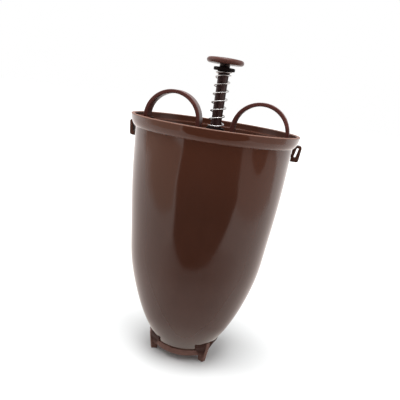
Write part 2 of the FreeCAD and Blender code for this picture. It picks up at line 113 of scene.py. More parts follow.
def remap(tree, value, fromLow, fromHigh, toLow=0.0, toHigh=1.0):
    node = tree.nodes.new("ShaderNodeMapRange")
    for socket, number in zip(node.inputs, (value, fromLow, fromHigh, toLow, toHigh)):
        plug(tree, socket, number)
    return node.outputs[0]


def blendColour(tree, amount, first, second):
    node = tree.nodes.new("ShaderNodeMix")
    node.data_type = "RGBA"
    plug(tree, node.inputs["Factor"], amount)
    plug(tree, node.inputs[6], first)
    plug(tree, node.inputs[7], second)
    return node.outputs[2]


def newGroup(name, inputs, outputs, kind="ShaderNodeTree"):
    tree = bpy.data.node_groups.new(name, kind)
    for label, socketType, value in inputs:
        socket = tree.interface.new_socket(label, in_out="INPUT", socket_type=socketType)
        if value is not None:
            socket.default_value = value
    for label, socketType in outputs:
        tree.interface.new_socket(label, in_out="OUTPUT", socket_type=socketType)
    return tree, tree.nodes.new("NodeGroupInput").outputs, tree.nodes.new("NodeGroupOutput").inputs


# what the brown parts have in common; every plastic's look below starts from it
plainLook = {
    "colour": (0.036, 0.0115, 0.0062), "flowColour": (0.046, 0.016, 0.0095), "flow": 0.6,
    "roughness": 0.09, "smudges": 0.05, "scratches": 0.25, "wear": 0.0,
    "specular": 0.36, "relief": 0.000008,
}

# which of a look's values each input of the shared skin takes
skinColours = {"Colour": "colour", "Flow colour": "flowColour"}
skinNumbers = {
    "Flow": "flow", "Gloss": "roughness", "Smudges": "smudges", "Scratches": "scratches", "Wear": "wear",
}

# scales are waves per metre, and a span gives the values where an effect starts and is full
skinSizes = {
    "streakScale": 85.0, "streakStretch": (1, 1, 0.22), "cloudScale": 28.0, "flowSpan": (0.36, 0.64),
    "rubScale": 320.0, "rubSpan": (0.35, 0.6), "rubPaler": (1.9, 2.0, 2.1), "rubSmoother": 0.06,
    "smudgeScale": 60.0, "smudgeSpan": (0.42, 0.68), "patchScale": 45.0, "patchSpan": (0.5, 0.62),
    "scratchScales": (2600, 2600, 90), "scratchSpan": (0.66, 0.74), "scratchDuller": 0.25,
    "scratchDepth": 0.3, "waveScale": 22.0, "waveHeight": 6.0, "peelScale": 900.0, "peelHeight": 0.35,
}


# skin of moulded plastic, shared by all the brown parts
def mouldedSkinGroup():
    size = skinSizes
    inputs = [("Place", "NodeSocketVector", None), ("Rubbed", "NodeSocketFloat", 0.0)]
    inputs += [(label, "NodeSocketColor", (*plainLook[key], 1)) for label, key in skinColours.items()]
    inputs += [(label, "NodeSocketFloat", plainLook[key]) for label, key in skinNumbers.items()]
    outputs = [
        ("Colour", "NodeSocketColor"), ("Roughness", "NodeSocketFloat"), ("Height", "NodeSocketFloat"),
    ]
    tree, given, put = newGroup("mouldedSkin", inputs, outputs)
    place = given["Place"]

    # the melt's flow shows as long faint streaks up the wall
    streaks = noise(tree, scaled(tree, place, size["streakStretch"]), size["streakScale"], detail=4.0)
    clouds = noise(tree, place, size["cloudScale"], detail=3.0)
    flow = product(tree, total(tree, streaks, clouds), 0.5)
    flow = product(tree, remap(tree, flow, *size["flowSpan"]), given["Flow"])
    colour = blendColour(tree, flow, given["Colour"], given["Flow colour"])

    # hands rub the corners paler and smoother, here more and there less
    breaks = remap(tree, noise(tree, place, size["rubScale"], detail=3.0), *size["rubSpan"])
    rubbed = product(tree, given["Rubbed"], breaks, given["Wear"])
    paler = scaled(tree, given["Flow colour"], size["rubPaler"])
    tree.links.new(blendColour(tree, rubbed, colour, paler), put["Colour"])

    # fingers and wiping leave duller patches and hair-fine scratches
    smudge = noise(tree, place, size["smudgeScale"], detail=5.0, roughness=0.6)
    smudge = remap(tree, smudge, *size["smudgeSpan"])
    lines = noise(tree, scaled(tree, place, size["scratchScales"]), 1.0, detail=1.0)
    lines = remap(tree, lines, *size["scratchSpan"])
    patches = remap(tree, noise(tree, place, size["patchScale"]), *size["patchSpan"])
    scratch = product(tree, lines, patches, given["Scratches"])
    dull = product(tree, smudge, given["Smudges"])
    rough = total(tree, given["Gloss"], dull, product(tree, scratch, size["scratchDuller"]))
    rough = calc(tree, "SUBTRACT", rough, product(tree, rubbed, size["rubSmoother"]))
    tree.links.new(rough, put["Roughness"])

    # slow sink waves of the wall, then the fine peel of the mould's skin
    waves = product(tree, noise(tree, place, size["waveScale"], detail=1.0), size["waveHeight"])
    peel = product(tree, noise(tree, place, size["peelScale"]), size["peelHeight"])
    height = calc(tree, "SUBTRACT", total(tree, waves, peel), product(tree, scratch, size["scratchDepth"]))
    tree.links.new(height, put["Height"])
    return tree


mouldedSkin = mouldedSkinGroup()
print("shared effects made")


def newMaterial(name):
    material = bpy.data.materials.new(name)
    material.use_nodes = True
    return material, material.node_tree, material.node_tree.nodes["Principled BSDF"]


def objectPlace(tree):
    return tree.nodes.new("ShaderNodeTexCoord").outputs["Object"]


def addBump(tree, shader, height, distance):
    bump = tree.nodes.new("ShaderNodeBump")
    bump.inputs["Strength"].default_value = 1.0
    bump.inputs["Distance"].default_value = distance
    tree.links.new(height, bump.inputs["Height"])
    tree.links.new(bump.outputs["Normal"], shader.inputs["Normal"])


def surfaceMask(tree, name):
    node = tree.nodes.new("ShaderNodeAttribute")
    node.attribute_name = name
    return node.outputs["Fac"]


# painted shade darkens the feet beside their fins, outside the ring and above the pads, where the cup's
# overhang shades them
def besideFins(tree, place, paintedShade):
    x, y, z = separated(tree, place)
    radius = calc(tree, "SQRT", total(tree, product(tree, x, x), product(tree, y, y)))
    step = 2 * math.pi / paintedShade["feet"]
    heading = total(tree, calc(tree, "ARCTAN2", y, x), 2 * math.pi + step / 2 - math.radians(paintedShade["turn"]))
    offset = calc(tree, "SUBTRACT", calc(tree, "MODULO", heading, step), step / 2)
    aside = calc(tree, "ABSOLUTE", product(tree, calc(tree, "SINE", offset), radius))
    besideFin = remap(tree, aside, *paintedShade["finSpan"])
    pastRing = remap(tree, radius, *paintedShade["ringSpan"])
    raised = remap(tree, z, *paintedShade["heightSpan"])
    return product(tree, besideFin, pastRing, raised)


def mouldedPlastic(name, look):
    material, tree, shader = newMaterial(name)
    place = objectPlace(tree)
    skin = tree.nodes.new("ShaderNodeGroup")
    skin.node_tree = mouldedSkin
    plug(tree, skin.inputs["Place"], place)
    plug(tree, skin.inputs["Rubbed"], surfaceMask(tree, "rubbed"))
    for label, key in (skinColours | skinNumbers).items():
        plug(tree, skin.inputs[label], look[key])
    colour, roughness = skin.outputs["Colour"], skin.outputs["Roughness"]
    # painted light and shade by height: a second colour blends in between two heights
    if "lightAndToneByHeight" in look:
        second = look["lightAndToneByHeight"]
        amount = remap(tree, separated(tree, place)["Z"], *second["span"])
        colour = blendColour(tree, amount, colour, second["colour"])
    # painted shade on the feet beside their fins
    if "paintedShade" in look:
        colour = blendColour(tree, besideFins(tree, place, look["paintedShade"]), colour, look["paintedShade"]["colour"])
    # a zone that an attribute marks takes its own colour; the rim's land is a painted highlight
    for mask, zone in look.get("zones", {}).items():
        amount = surfaceMask(tree, mask)
        clouds = noise(tree, place, zone["scale"], detail=4.0)
        colour = blendColour(tree, amount, colour, blendColour(tree, clouds, zone["colour"], zone["shade"]))
        roughness = total(tree, roughness, product(tree, amount, zone["duller"]))
    tree.links.new(colour, shader.inputs["Base Color"])
    tree.links.new(roughness, shader.inputs["Roughness"])
    shader.inputs["Specular IOR Level"].default_value = look["specular"]
    addBump(tree, shader, skin.outputs["Height"], look["relief"])
    return material


cupLook = dict(
    plainLook,
    lightAndToneByHeight={"span": (0.125, 0.18), "colour": (0.054, 0.0162, 0.0083)},  # painted light: the upper wall is lighter and warmer, as if light shone through it
    # painted highlight: the rim's top land is paler, where it catches light from above
    zones={
        "rimLand": {
            "colour": (0.205, 0.094, 0.062), "shade": (0.15, 0.067, 0.044), "scale": 35.0, "duller": 0.4,
        },
    },
)
insideLook = dict(
    plainLook, colour=(0.055, 0.0172, 0.0094), flowColour=(0.071, 0.023, 0.0124),
    roughness=0.22, specular=0.14, zones=cupLook["zones"],
)
baseLook = dict(
    plainLook, colour=(0.13, 0.068, 0.054), flowColour=(0.145, 0.077, 0.062),
    roughness=0.5, specular=0.06, wear=0.15,
    # painted shade beside the fins, darker upwards under the cup's overhang
    paintedShade={
        "feet": 3, "turn": 85.5, "finSpan": (0.00175, 0.00189), "ringSpan": (0.0236, 0.0243),
        "heightSpan": (0.002, 0.009), "colour": (0.034, 0.0128, 0.0095),
    },
)
bridgeLook = dict(plainLook, colour=(0.05, 0.014, 0.008), roughness=0.6, specular=0.03)
loopLook = dict(
    plainLook, colour=(0.08, 0.0235, 0.0185), flowColour=(0.095, 0.030, 0.0235),
    roughness=0.34, specular=0.2, wear=0.5,
)
clipLook = dict(plainLook, colour=(0.05, 0.017, 0.008), roughness=0.42, specular=0.14, wear=0.3)
bushLook = dict(
    plainLook, colour=(0.0085, 0.005, 0.0045), flowColour=(0.011, 0.006, 0.0055),
    roughness=0.6, specular=0.05,
)
rodLook = dict(
    plainLook, colour=(0.035, 0.0155, 0.0135), flowColour=(0.045, 0.02, 0.0175),
    roughness=0.4, specular=0.18, wear=0.2,
)
capLook = dict(
    plainLook, colour=(0.0075, 0.004, 0.0035), flowColour=(0.01, 0.0055, 0.005),
    roughness=0.5, specular=0.05, wear=0.1,
)
knobLook = dict(
    plainLook, colour=(0.078, 0.029, 0.022), flowColour=(0.092, 0.036, 0.028),
    roughness=0.3, specular=0.2, wear=0.5,
    # the neck below the disc is nearly black, partly its own dark colour and partly painted shade under the
    # disc
    lightAndToneByHeight={"span": (0.2296, 0.2288), "colour": (0.014, 0.007, 0.006)},
)

steelLook = {
    "colour": (0.62, 0.61, 0.60), "dark": (0.36, 0.35, 0.34), "stainScale": 160.0, "stainSpan": (0.4, 0.7),
    "stained": 0.7, "drawnSpan": (0.3, 0.7), "roughness": 0.24, "rougher": 0.14, "relief": 0.000006,
}
springStretch = (300, 300, 1500)  # waves per metre, along X, Y and Z, of the marks left by drawing or rolling
plateStretch = (600, 90, 600)
rubberLook = {
    "colour": (0.30, 0.24, 0.21), "dark": (0.22, 0.17, 0.15), "bloomScale": 140.0, "bloomSpan": (0.35, 0.65),
    "grainScale": 1500.0, "roughSpan": (0.3, 0.7), "roughness": 0.6, "rougher": 0.2, "relief": 0.00001,
}


def wornSteel(name, look, stretch):
    material, tree, shader = newMaterial(name)
    place = objectPlace(tree)
    drawn = noise(tree, scaled(tree, place, stretch), 1.0, detail=3.0)
    stains = noise(tree, place, look["stainScale"], detail=4.0, roughness=0.6)
    stained = product(tree, remap(tree, stains, *look["stainSpan"]), look["stained"])
    colour = blendColour(tree, stained, look["colour"], look["dark"])
    rough = remap(tree, drawn, *look["drawnSpan"], look["roughness"], look["roughness"] + look["rougher"])
    tree.links.new(colour, shader.inputs["Base Color"])
    tree.links.new(rough, shader.inputs["Roughness"])
    shader.inputs["Metallic"].default_value = 1.0
    addBump(tree, shader, drawn, look["relief"])
    return material


def softRubber(name, look):
    material, tree, shader = newMaterial(name)
    place = objectPlace(tree)
    bloom = noise(tree, place, look["bloomScale"], detail=4.0, roughness=0.6)
    grain = noise(tree, place, look["grainScale"])
    colour = blendColour(tree, remap(tree, bloom, *look["bloomSpan"]), look["colour"], look["dark"])
    rough = remap(tree, bloom, *look["roughSpan"], look["roughness"], look["roughness"] + look["rougher"])
    tree.links.new(colour, shader.inputs["Base Color"])
    tree.links.new(rough, shader.inputs["Roughness"])
    addBump(tree, shader, grain, look["relief"])
    return material


cupPlastic = mouldedPlastic("cupPlastic", cupLook)
insidePlastic = mouldedPlastic("insidePlastic", insideLook)
basePlastic = mouldedPlastic("basePlastic", baseLook)
bridgePlastic = mouldedPlastic("bridgePlastic", bridgeLook)
loopPlastic = mouldedPlastic("loopPlastic", loopLook)
clipPlastic = mouldedPlastic("clipPlastic", clipLook)
bushPlastic = mouldedPlastic("bushPlastic", bushLook)
rodPlastic = mouldedPlastic("rodPlastic", rodLook)
capPlastic = mouldedPlastic("capPlastic", capLook)
knobPlastic = mouldedPlastic("knobPlastic", knobLook)
springSteel = wornSteel("springSteel", steelLook, springStretch)
plateSteel = wornSteel("plateSteel", steelLook, plateStretch)
sealRubber = softRubber("sealRubber", rubberLook)

finishes = {
    "hopper_cup": cupPlastic, "outlet_base": basePlastic, "base_seal": sealRubber,
    "handle_bridge": bridgePlastic, "guide_bush": bushPlastic, "spring_seat": bushPlastic,
    "finger_loop_right": loopPlastic, "finger_loop_left": loopPlastic,
    "lock_clip_right": clipPlastic, "lock_clip_left": clipPlastic, "plunger_rod": rodPlastic,
    "return_spring": springSteel, "spring_cap": capPlastic, "push_knob": knobPlastic,
    "knob_screw": plateSteel, "knob_cover": knobPlastic, "closing_piston": basePlastic,
    "piston_seal": sealRubber, "piston_washer": plateSteel, "piston_screw": plateSteel,
}
for nodeName, material in finishes.items():
    for materialSlot in cadNodes[nodeName].material_slots:
        materialSlot.material = material
print("finishes given to the CAD nodes")


# a geometry tree with an input for each size; one written without a point counts something
def geometryGroup(name, inputs, sizes):
    kinds = {int: "NodeSocketInt", float: "NodeSocketFloat"}
    inputs += [(label, kinds[type(size)], size) for label, size in sizes.items()]
    return newGroup(name, inputs, [("Geometry", "NodeSocketGeometry")], "GeometryNodeTree")


def namedValue(tree, name):
    node = tree.nodes.new("GeometryNodeInputNamedAttribute")
    node.inputs["Name"].default_value = name
    return node.outputs["Attribute"]


# the point at an angle and a radius round the Z axis
def aroundAxis(tree, angle, radius, height):
    across = product(tree, calc(tree, "COSINE", angle), radius)
    along = product(tree, calc(tree, "SINE", angle), radius)
    return combined(tree, across, along, height)


def passOn(tree, kind, geometry):
    node = tree.nodes.new(kind)
    tree.links.new(geometry, node.inputs["Geometry"])
    return node


# the last nodes of each tree; edges past the crease angle, in degrees, stay crisp
def finishTree(tree, given, put, geometry, materialInput, creaseAngle=None, zone=None):
    if creaseAngle:
        bend = tree.nodes.new("GeometryNodeInputMeshEdgeAngle").outputs[0]
        crisp = passOn(tree, "GeometryNodeSetShadeSmooth", geometry)
        crisp.domain = "EDGE"
        plug(tree, crisp.inputs["Shade Smooth"], calc(tree, "LESS_THAN", bend, math.radians(creaseAngle)))
        geometry = crisp.outputs[0]
    smooth = passOn(tree, "GeometryNodeSetShadeSmooth", geometry)
    realize = passOn(tree, "GeometryNodeRealizeInstances", smooth.outputs[0])
    paint = passOn(tree, "GeometryNodeSetMaterial", realize.outputs[0])
    plug(tree, paint.inputs["Material"], given[materialInput])
    if zone:  # the faces that an attribute marks get a material of their own
        mask, zoneInput = zone
        paint = passOn(tree, "GeometryNodeSetMaterial", paint.outputs[0])
        plug(tree, paint.inputs["Selection"], calc(tree, "GREATER_THAN", namedValue(tree, mask), 0.5))
        plug(tree, paint.inputs["Material"], given[zoneInput])
    tree.links.new(paint.outputs[0], put["Geometry"])


def grow(name, tree, values, start=None):
    holder = bpy.data.objects.new(name + "Source", start or bpy.data.meshes.new(name + "Source"))
    scene.collection.objects.link(holder)
    modifier = holder.modifiers.new("nodes", "NODES")
    modifier.node_group = tree
    for item in tree.interface.items_tree:
        if item.in_out == "INPUT" and item.name in values:
            modifier[item.identifier] = values[item.name]
    evaluated = holder.evaluated_get(bpy.context.evaluated_depsgraph_get())
    mesh = bpy.data.meshes.new_from_object(evaluated)
    mesh.name = name
    piece = bpy.data.objects.new(name, mesh)
    scene.collection.objects.link(piece)
    bpy.data.objects.remove(holder)  # its modifier goes with it
    return piece


# return spring: half a turn on the seat, open coils, then close turns under the cap
springSizes = {
    "Wire": 0.001, "Coil radius": 0.0055, "Foot height": 0.1828,
    "Start": 98.8,  # degrees, turned from X towards Y
    "Seat pitch": 0.0014, "Seat turns": 0.5, "Coils": 6.0, "Coil pitch": 0.006175,
    "Cap pitch": 0.0022, "Cap turns": 1.25,
    "Steps": 400, "Wire sides": 14,
}


def springTree():
    inputs = [("Geometry", "NodeSocketGeometry", None), ("Steel", "NodeSocketMaterial", None)]
    tree, given, put = geometryGroup("woundSpring", inputs, springSizes)
    line = tree.nodes.new("GeometryNodeCurvePrimitiveLine")
    steps = tree.nodes.new("GeometryNodeResampleCurve")
    tree.links.new(line.outputs[0], steps.inputs["Curve"])
    tree.links.new(given["Steps"], steps.inputs["Count"])
    index = tree.nodes.new("GeometryNodeInputIndex").outputs[0]

    # turns wound so far, and how far each of the three kinds has climbed
    openEnd = total(tree, given["Coils"], given["Seat turns"])
    allTurns = total(tree, openEnd, given["Cap turns"])
    share = calc(tree, "DIVIDE", index, calc(tree, "SUBTRACT", given["Steps"], 1.0))
    turns = product(tree, share, allTurns)
    angle = total(tree, product(tree, turns, 2 * math.pi), calc(tree, "RADIANS", given["Start"]))
    seatTurns = calc(tree, "MINIMUM", turns, given["Seat turns"])
    pastSeat = calc(tree, "MAXIMUM", calc(tree, "SUBTRACT", turns, given["Seat turns"]), 0.0)
    openTurns = calc(tree, "MINIMUM", pastSeat, given["Coils"])
    capTurns = calc(tree, "MAXIMUM", calc(tree, "SUBTRACT", turns, openEnd), 0.0)
    seatPart = product(tree, seatTurns, given["Seat pitch"])
    openPart = product(tree, openTurns, given["Coil pitch"])
    capPart = product(tree, capTurns, given["Cap pitch"])
    wireRadius = product(tree, given["Wire"], 0.5)
    height = total(tree, seatPart, openPart, capPart, wireRadius, given["Foot height"])

    wound = passOn(tree, "GeometryNodeSetPosition", steps.outputs[0])
    plug(tree, wound.inputs["Position"], aroundAxis(tree, angle, given["Coil radius"], height))
    section = tree.nodes.new("GeometryNodeCurvePrimitiveCircle")
    tree.links.new(given["Wire sides"], section.inputs["Resolution"])
    tree.links.new(wireRadius, section.inputs["Radius"])
    wire = tree.nodes.new("GeometryNodeCurveToMesh")
    wire.inputs["Fill Caps"].default_value = True
    tree.links.new(wound.outputs[0], wire.inputs["Curve"])
    tree.links.new(section.outputs[0], wire.inputs["Profile Curve"])
    finishTree(tree, given, put, wire.outputs[0], "Steel")
    return tree


spring = grow("wound_spring", springTree(), dict(springSizes, Steel=springSteel))
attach(spring, "cup")
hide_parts("return_spring")
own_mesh(spring)
print("spring wound:", len(spring.data.polygons), "faces")


# small mouldings: the CAD shape with the soft corners that a mould leaves, and worn where hands rub
mouldingSizes = {
    "cornerAngle": 28.0, "crispAngle": 35.0, "flatAngle": 0.4,  # degrees
    "weld": 0.000002, "sliver": 0.00001, "cornerSliver": 0.000001, "cornerSteps": 2,
    "cornerRadii": {
        "outlet_base": 0.00035, "handle_bridge": 0.0003, "guide_bush": 0.0002, "spring_seat": 0.00012,
        "finger_loop_right": 0.0002, "finger_loop_left": 0.0002, "lock_clip_right": 0.0003,
        "lock_clip_left": 0.0003, "plunger_rod": 0.0003, "spring_cap": 0.00025, "push_knob": 0.00012,
        "knob_cover": 0.00025, "closing_piston": 0.00025,
    },
}


def softenCorners(nodeName, radius):
    size = mouldingSizes
    mesh = cadNodes[nodeName].data.copy()
    mesh.name = nodeName + "_moulded"
    work = bmesh.new()
    work.from_mesh(mesh)
    bmesh.ops.remove_doubles(work, verts=work.verts, dist=size["weld"])
    bmesh.ops.dissolve_limit(
        work, angle_limit=math.radians(size["flatAngle"]), verts=work.verts, edges=work.edges,
        delimit={"MATERIAL"},
    )
    bmesh.ops.dissolve_degenerate(work, dist=size["sliver"], edges=work.edges)
    corners = [
        edge for edge in work.edges
        if len(edge.link_faces) == 2 and edge.calc_face_angle(0.0) > math.radians(size["cornerAngle"])
    ]
    made = bmesh.ops.bevel(
        work, geom=corners, offset=radius, offset_type="OFFSET", segments=size["cornerSteps"], profile=0.5,
        affect="EDGES", clamp_overlap=True,
    )
    rubbed = work.verts.layers.float.new("rubbed")
    for face in made["faces"]:
        for vertex in face.verts:
            vertex[rubbed] = 1.0
    bmesh.ops.dissolve_degenerate(work, dist=size["cornerSliver"], edges=work.edges)
    for face in work.faces:
        face.smooth = True
    work.to_mesh(mesh)
    work.free()
    if "custom_normal" in mesh.attributes:
        mesh.attributes.remove(mesh.attributes["custom_normal"])
    mesh.set_sharp_from_angle(angle=math.radians(size["crispAngle"]))
    piece = bpy.data.objects.new(nodeName + "_moulded", mesh)
    scene.collection.objects.link(piece)
    return piece


bodyOfNode = {node: body for body, nodes in frame["record"]["behaviour"]["bodies"].items() for node in nodes}
for nodeName, radius in mouldingSizes["cornerRadii"].items():
    moulding = softenCorners(nodeName, radius)
    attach(moulding, bodyOfNode[nodeName])
    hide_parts(nodeName)
    if nodeName.startswith("lock_clip"):  # the glossy wall beside the clips doesn't mirror them
        moulding.visible_glossy = False
    print(nodeName, "softened:", len(moulding.data.polygons), "faces")


# hopper cup: one outline of the wall, turned about the axis, with a window for each lock clip
cupSizes = {
    "belly": [  # share of the wall's height, share of its widening
        (0.0, 0.0), (0.063, 0.197), (0.153, 0.413), (0.274, 0.623), (0.394, 0.764), (0.514, 0.832),
        (0.694, 0.920), (0.875, 0.982), (1.0, 1.0),
    ],
    "bottom": 0.0100, "wallTop": 0.1763, "bottomRadius": 0.0230, "topRadius": 0.0590, "wall": 0.0022,
    "rim": 0.1855, "rimRadius": 0.0634, "rimRound": 0.0008, "rimLand": 0.0025,
    "bandHeight": 0.0040, "bandLean": 0.0007, "bandRound": 0.0006,
    "lip": 0.0005, "lipRound": 0.00035, "bulge": 0.00035, "ledge": 0.1805, "ledgeRound": 0.0005,
    "outletRadius": 0.0200, "neckTop": 0.0152, "socketRadius": 0.0219, "socketTop": 0.0140,
    "bead": 0.0004, "beadMiddle": 0.0115, "beadHeight": 0.0010,
    "windowHalf": 0.0035, "windowLow": 0.1702, "windowHigh": 0.1728, "windowDepth": 0.0105,
    "bellySteps": 10, "flareSteps": 8, "rimSteps": 6, "smallSteps": 3, "lipSteps": 2,
    "segments": 208, "weld": 0.000002, "creaseAngle": 40.0,
}


# slope at the first of four points of the cubic that goes through them
def endSlope(points, places):
    slope = Vector((0, 0))
    for number in (1, 2, 3):
        share = 1.0
        for other in {1, 2, 3} - {number}:
            share *= (places[0] - places[other]) / (places[number] - places[other])
        slope += (points[number] - points[0]) / (places[number] - places[0]) * share
    return slope


# a line through the points whose curvature has no jumps
def throughPoints(points, steps, sweeps=40):
    gaps = [(after - before).length for before, after in zip(points, points[1:])]
    places = [sum(gaps[:number]) for number in range(len(points))]
    rates = [(after - before) / gap for before, after, gap in zip(points, points[1:], gaps)]
    slopes = [endSlope(points, places)] + rates[1:] + [endSlope(points[::-1], places[::-1])]
    for sweep in range(sweeps):  # each slope settles to suit both its neighbours
        for n in range(1, len(points) - 1):
            pull = 3 * (gaps[n] * rates[n - 1] + gaps[n - 1] * rates[n])
            pull -= gaps[n] * slopes[n - 1] + gaps[n - 1] * slopes[n + 1]
            slopes[n] = pull / (2 * (gaps[n - 1] + gaps[n]))
    line = []
    for n, gap in enumerate(gaps):
        for t in (step / steps for step in range(steps)):
            line.append(
                points[n] * (1 + 2 * t) * (1 - t) ** 2 + points[n + 1] * (3 - 2 * t) * t ** 2
                + slopes[n] * gap * t * (1 - t) ** 2 + slopes[n + 1] * gap * (t - 1) * t ** 2
            )
    return line + [points[-1]]


def setBack(line, distance):
    moved = []
    for index, point in enumerate(line):
        along = line[min(index + 1, len(line) - 1)] - line[max(index - 1, 0)]
        moved.append(point + Vector((-along.y, along.x)).normalized() * distance)
    return moved


# a curve that leaves its start towards the pull and comes to its end from there
def softCurve(start, pull, end, steps):
    curve = []
    for step in range(steps + 1):
        t = step / steps
        curve.append(start * (1 - t) ** 2 + pull * 2 * t * (1 - t) + end * t * t)
    return curve


def roundCorner(before, corner, after, radius, steps):
    back, ahead = (before - corner).normalized(), (after - corner).normalized()
    return softCurve(corner + back * radius, corner, corner + ahead * radius, steps)


# each point of the outline comes with its share of the rim's land, painted pale as a highlight, and of the
# inside's finish
def marked(points, within=0.0):
    return [(point, 0.0, within) for point in points]


def cupOutline():
    size = cupSizes
    climb, widening = size["wallTop"] - size["bottom"], size["topRadius"] - size["bottomRadius"]
    belly = [
        Vector((size["bottomRadius"] + out * widening, size["bottom"] + up * climb))
        for up, out in size["belly"]
    ]
    outside = throughPoints(belly, size["bellySteps"])
    inside = [  # a straight funnel lies below it
        point for point in setBack(outside, size["wall"])[size["bellySteps"]:]
        if point.x < size["topRadius"] - size["wall"]
    ]
    top, rim, pocket = outside[-1], size["rimRadius"], size["rimRadius"] - size["rimLand"]
    lip = top + Vector((size["lip"], 0))
    foot = Vector((rim - size["bandLean"], size["rim"] - size["bandHeight"]))
    halfway = (lip + foot) / 2
    middle = halfway + Vector((size["bulge"], -size["bulge"]))
    flare = softCurve(lip, middle * 2 - halfway, foot, size["flareSteps"])
    rimOut, rimIn = Vector((rim, size["rim"])), Vector((pocket, size["rim"]))
    ledgeOut, ledgeIn = Vector((pocket, size["ledge"])), Vector((inside[-1].x, size["ledge"]))

    steps, few = size["rimSteps"], size["smallSteps"]

    # up the outside; the rounds take the place of the flare's ends
    line = marked(outside)
    line += marked(roundCorner(top, lip, flare[3], size["lipRound"], size["lipSteps"]))
    line += marked(flare[2:-1])
    line += marked(roundCorner(flare[-2], foot, rimOut, size["bandRound"], few))

    # over the rim, where the painted highlight on the land fades in on one round and out on the other
    for number, point in enumerate(roundCorner(foot, rimOut, rimIn, size["rimRound"], steps)):
        line.append((point, min(2 * number / steps, 1.0), 0.0))
    for number, point in enumerate(roundCorner(rimOut, rimIn, ledgeOut, size["rimRound"], steps)):
        line.append((point, min(2 * (steps - number) / steps, 1.0), 1.0 if number > steps - 2 else 0.0))

    # over the ledge and down the inside to the neck and the socket with its bead
    line += marked(roundCorner(rimIn, ledgeOut, ledgeIn, size["ledgeRound"], few), within=1.0)
    line += marked(roundCorner(ledgeOut, ledgeIn, inside[-1], size["ledgeRound"], few), within=1.0)
    line += marked(reversed(inside), within=1.0)
    neck, socket = size["outletRadius"], size["socketRadius"]
    bead, beadMiddle, half = size["bead"], size["beadMiddle"], size["beadHeight"]
    outlet = [
        (neck, size["neckTop"]), (neck, size["socketTop"]), (socket, size["socketTop"]),
        (socket, beadMiddle + half), (socket + bead, beadMiddle), (socket, beadMiddle - half),
        (socket, outside[0].y),
    ]
    line += marked([Vector(corner) for corner in outlet], within=1.0)

    mesh = bpy.data.meshes.new("cupOutline")
    mesh.from_pydata([(point.x, 0, point.y) for point, land, within in line], [], [])
    for label, column in (("rimLand", 1), ("cupInside", 2)):
        attribute = mesh.attributes.new(label, "FLOAT", "POINT")
        for number, item in enumerate(line):
            attribute.data[number].value = item[column]
    return mesh


# the sizes that the turning takes; its windows stand on X
turnedSizes = {
    "Segments": cupSizes["segments"], "Window half": cupSizes["windowHalf"],
    "Window low": cupSizes["windowLow"], "Window high": cupSizes["windowHigh"],
    "Window start": cupSizes["rimRadius"] - cupSizes["windowDepth"], "Window end": cupSizes["rimRadius"],
}


def sampled(tree, geometry, value, index, kind="FLOAT"):
    node = tree.nodes.new("GeometryNodeSampleIndex")
    node.data_type = kind
    tree.links.new(geometry, node.inputs["Geometry"])
    tree.links.new(value, node.inputs["Value"])
    tree.links.new(index, node.inputs["Index"])
    return node.outputs[0]


def latheTree():
    inputs = [
        ("Outline", "NodeSocketGeometry", None), ("Plastic", "NodeSocketMaterial", None),
        ("Inside plastic", "NodeSocketMaterial", None),
    ]
    tree, given, put = geometryGroup("turnedShell", inputs, turnedSizes)
    outline = given["Outline"]

    # a grid with a column for each segment takes its points from the outline, which closes on itself
    count = tree.nodes.new("GeometryNodeAttributeDomainSize")
    tree.links.new(outline, count.inputs[0])
    points = count.outputs["Point Count"]
    rows = total(tree, points, 1.0)
    grid = tree.nodes.new("GeometryNodeMeshGrid")
    tree.links.new(total(tree, given["Segments"], 1.0), grid.inputs["Vertices X"])
    tree.links.new(rows, grid.inputs["Vertices Y"])
    index = tree.nodes.new("GeometryNodeInputIndex").outputs[0]
    column = calc(tree, "FLOOR", calc(tree, "DIVIDE", total(tree, index, 0.5), rows))
    row = calc(tree, "SUBTRACT", index, product(tree, column, rows))
    onLine = calc(tree, "MODULO", row, points)
    angle = calc(tree, "DIVIDE", product(tree, column, 2 * math.pi), given["Segments"])
    position = tree.nodes.new("GeometryNodeInputPosition").outputs[0]
    spot = separated(tree, sampled(tree, outline, position, onLine, "FLOAT_VECTOR"))
    geometry = grid.outputs[0]
    for label in ("rimLand", "cupInside"):
        store = passOn(tree, "GeometryNodeStoreNamedAttribute", geometry)
        store.inputs["Name"].default_value = label
        plug(tree, store.inputs["Value"], sampled(tree, outline, namedValue(tree, label), onLine))
        geometry = store.outputs[0]
    turned = passOn(tree, "GeometryNodeSetPosition", geometry)
    plug(tree, turned.inputs["Position"], aroundAxis(tree, angle, spot["X"], spot["Z"]))
    merged = passOn(tree, "GeometryNodeMergeByDistance", turned.outputs[0])
    merged.inputs["Distance"].default_value = cupSizes["weld"]

    # a block cuts the window on each side
    cut = tree.nodes.new("GeometryNodeMeshBoolean")
    cut.operation = "DIFFERENCE"
    tree.links.new(merged.outputs[0], cut.inputs["Mesh 1"])
    start, end = given["Window start"], given["Window end"]
    low, high = given["Window low"], given["Window high"]
    for side in (1.0, -1.0):
        deep = calc(tree, "SUBTRACT", end, start)
        wide = product(tree, given["Window half"], 2.0)
        tall = calc(tree, "SUBTRACT", high, low)
        block = tree.nodes.new("GeometryNodeMeshCube")
        tree.links.new(combined(tree, deep, wide, tall), block.inputs["Size"])
        outwards = product(tree, total(tree, end, start), side / 2)
        upwards = product(tree, total(tree, high, low), 0.5)
        placed = passOn(tree, "GeometryNodeTransform", block.outputs[0])
        tree.links.new(combined(tree, outwards, 0.0, upwards), placed.inputs["Translation"])
        tree.links.new(placed.outputs[0], cut.inputs["Mesh 2"])
    inner = ("cupInside", "Inside plastic")
    finishTree(tree, given, put, cut.outputs["Mesh"], "Plastic", cupSizes["creaseAngle"], inner)
    return tree


cupFinish = {"Plastic": cupPlastic, "Inside plastic": insidePlastic}
cupShell = grow("cup_shell", latheTree(), turnedSizes | cupFinish, cupOutline())
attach(cupShell, "cup")
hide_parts("hopper_cup")
print("cup turned:", len(cupShell.data.polygons), "faces")


